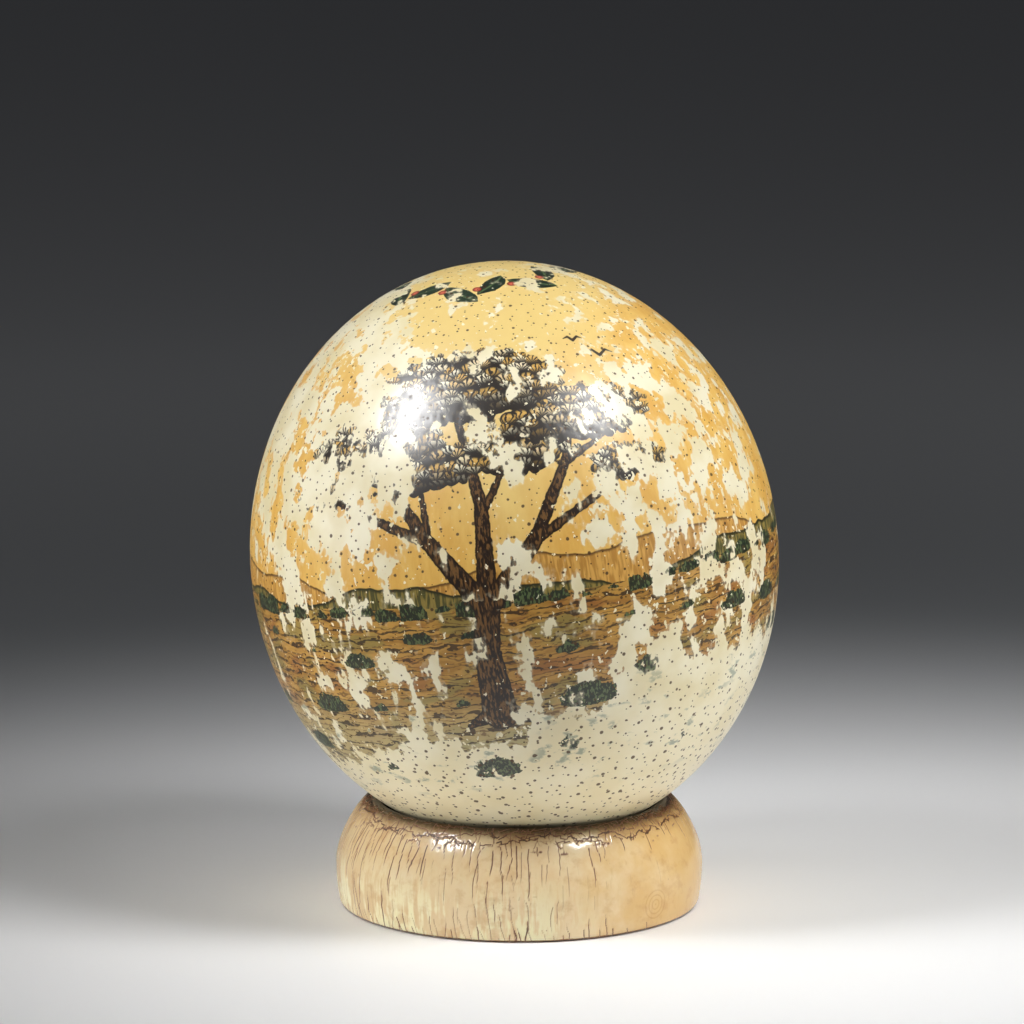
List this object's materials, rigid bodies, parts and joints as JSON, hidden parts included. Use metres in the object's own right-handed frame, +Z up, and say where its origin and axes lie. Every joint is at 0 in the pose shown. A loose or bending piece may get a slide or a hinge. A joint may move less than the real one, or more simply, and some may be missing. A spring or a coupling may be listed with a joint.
{
  "type": "painted ostrich egg on ring stand",
  "caption": "Ornamental ostrich egg with a flaking painted landscape under a golden sky, leaning a little in a low, polished, age-cracked cream ring that stands flat on a shelf.",
  "frame": {"origin": "on the surface that the ring stands on, under the middle of the egg", "axes": "+Z up, -Y towards the front of the painting, and the egg's upper end leans towards -X"},
  "size_m": [0.1272, 0.127, 0.1558],
  "materials": {
    "painted_shell": "cream pored eggshell under flaking ochre, umber and green paint, polished to a soft gloss",
    "cream_ring": "polished cream to honey ivory-like body with dark hairline age cracks and a stained lip"
  },
  "bodies": {
    "root": {"egg": "painted_shell", "ring_stand": "cream_ring"}
  },
  "joints": []
}
